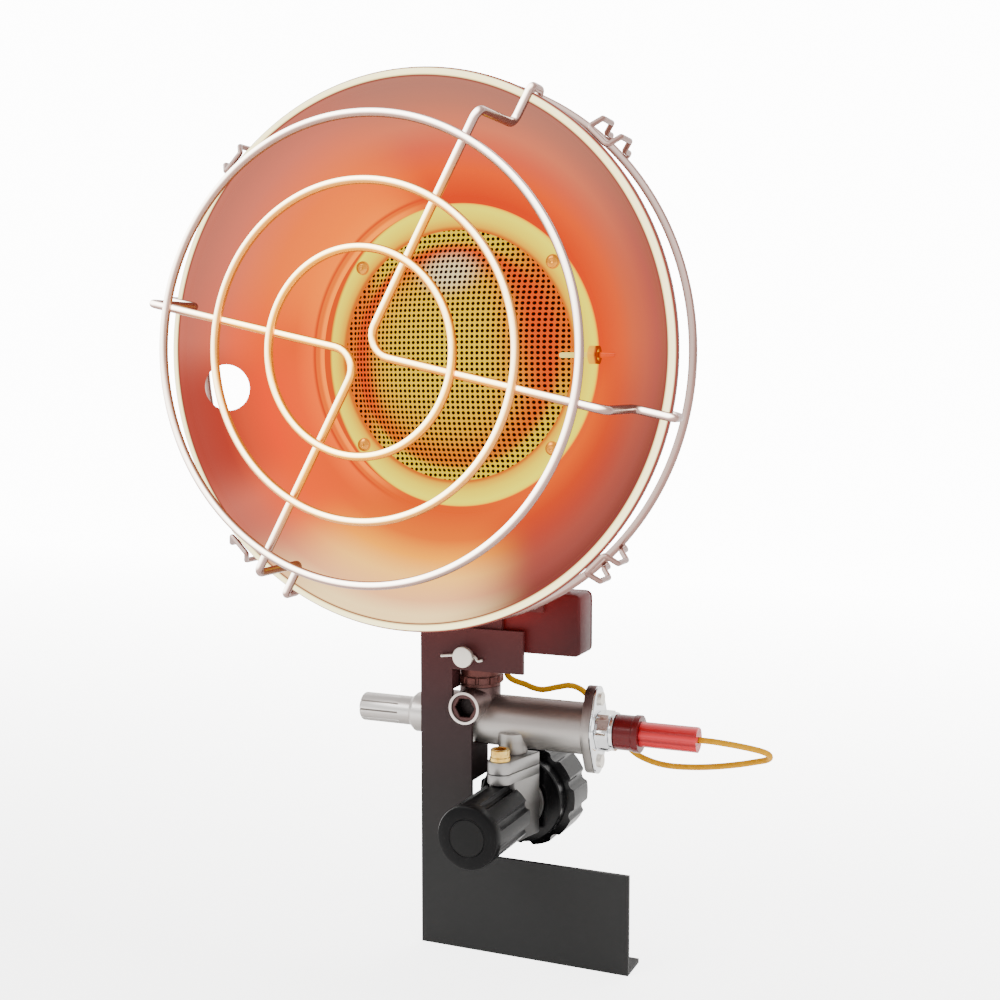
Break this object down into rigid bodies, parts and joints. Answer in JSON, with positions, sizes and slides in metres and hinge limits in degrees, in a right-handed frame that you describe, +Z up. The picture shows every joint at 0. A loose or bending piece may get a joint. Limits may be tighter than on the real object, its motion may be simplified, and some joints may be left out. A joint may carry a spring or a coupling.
{
  "type": "portable_propane_heater",
  "caption": "Tank-top radiant propane heater with round reflector, wire guard, support bracket, tip-over switch, push-button safety valve, regulator knob and tank coupling nut.",
  "frame": {"origin": "on the axis of the tank inlet, in the plane of the coupling nut's rear face", "axes": "+X right seen from the front, +Y backwards to the tank, +Z up"},
  "size_m": [0.2622, 0.1563, 0.4071],
  "materials": {
    "reflector_steel": "spun and polished, heat-tinted near the burner",
    "burner_steel": "heat-darkened",
    "glowing_mesh": "emissive, orange to yellow hot",
    "hot_brass": "hot",
    "bright_wire": "bright nickel plate",
    "bracket_paint": "satin charcoal",
    "zinc": "bright zinc",
    "switch_plastic": "satin",
    "nickel": "brushed nickel",
    "chrome": "polished",
    "dark_red": "glossy",
    "red": "glossy",
    "yellow_lead": "satin silicone",
    "alloy": "die-cast, fine grain",
    "brass": "machined",
    "black_knob": "satin",
    "black_gloss": "glossy",
    "rubber": "matt",
    "fibre": "pressed fibre",
    "copper": "copper, slightly dull"
  },
  "bodies": {
    "frame": {"reflector": "reflector_steel", "gasket": "fibre", "burner_cup": "burner_steel", "clamping_ring": "reflector_steel", "burner_screen": "glowing_mesh", "diffuser": "burner_steel", "clamp_screws": "hot_brass", "mixing_tube": "burner_steel", "orifice_holder": "brass", "gas_orifice": "brass", "thermocouple": "hot_brass", "thermocouple_nuts": "hot_brass", "thermocouple_lead": "copper", "guard_ring_outer": "bright_wire", "guard_ring_middle": "bright_wire", "guard_ring_inner": "bright_wire", "guard_wire_left": "bright_wire", "guard_wire_right": "bright_wire", "rear_guard_ring": "bright_wire", "rim_clips": "bright_wire", "support_bracket": "bracket_paint", "head_bracket": "bracket_paint", "clevis_pin": "zinc", "cotter_pin": "zinc", "switch_housing": "switch_plastic", "switch_cover": "switch_plastic", "switch_screws": "zinc", "pendulum_pin": "zinc", "switch_terminal": "brass", "valve_body": "nickel", "port_plug": "nickel", "end_plate": "chrome", "end_plate_screws": "zinc", "magnet_nut": "chrome", "magnet_unit": "brass", "dark_sleeve": "dark_red", "lead_sleeve": "red", "valve_lead": "yellow_lead", "button_collar": "zinc", "button_spring": "zinc", "regulator_body": "alloy", "regulator_cover": "alloy", "brass_plug": "brass", "diaphragm": "rubber", "regulator_spring": "zinc", "inlet_nipple": "brass", "nut_circlip": "zinc", "nipple_seal": "rubber"},
    "knob": {"control_knob": "black_knob", "knob_cap": "black_knob", "knob_spindle": "brass"},
    "button": {"push_button": "zinc", "valve_stem": "zinc", "valve_disc": "rubber"},
    "nut": {"coupling_nut": "black_gloss"},
    "pendulum": {"tilt_pendulum": "brass"}
  },
  "joints": [
    {"name": "knob_turn", "type": "hinge", "parent": "frame", "child": "knob", "pos_m": [0, -0.072, 0], "axis": [0, 1, 0], "range_deg": [0, 270]},
    {"name": "button_push", "type": "slide", "parent": "frame", "child": "button", "axis": [1, 0, 0], "range_m": [0, 0.006], "stiffness_N_per_m": 800, "springref_m": -0.002, "deforming": ["button_spring"]},
    {"name": "nut_turn", "type": "hinge", "parent": "frame", "child": "nut", "pos_m": [0, -0.014, 0], "axis": [0, 1, 0], "continuous": true},
    {"name": "pendulum_swing", "type": "hinge", "parent": "frame", "child": "pendulum", "pos_m": [0.01605, -0.0331, 0.0936], "axis": [0, 1, 0], "range_deg": [-25, 25]}
  ]
}
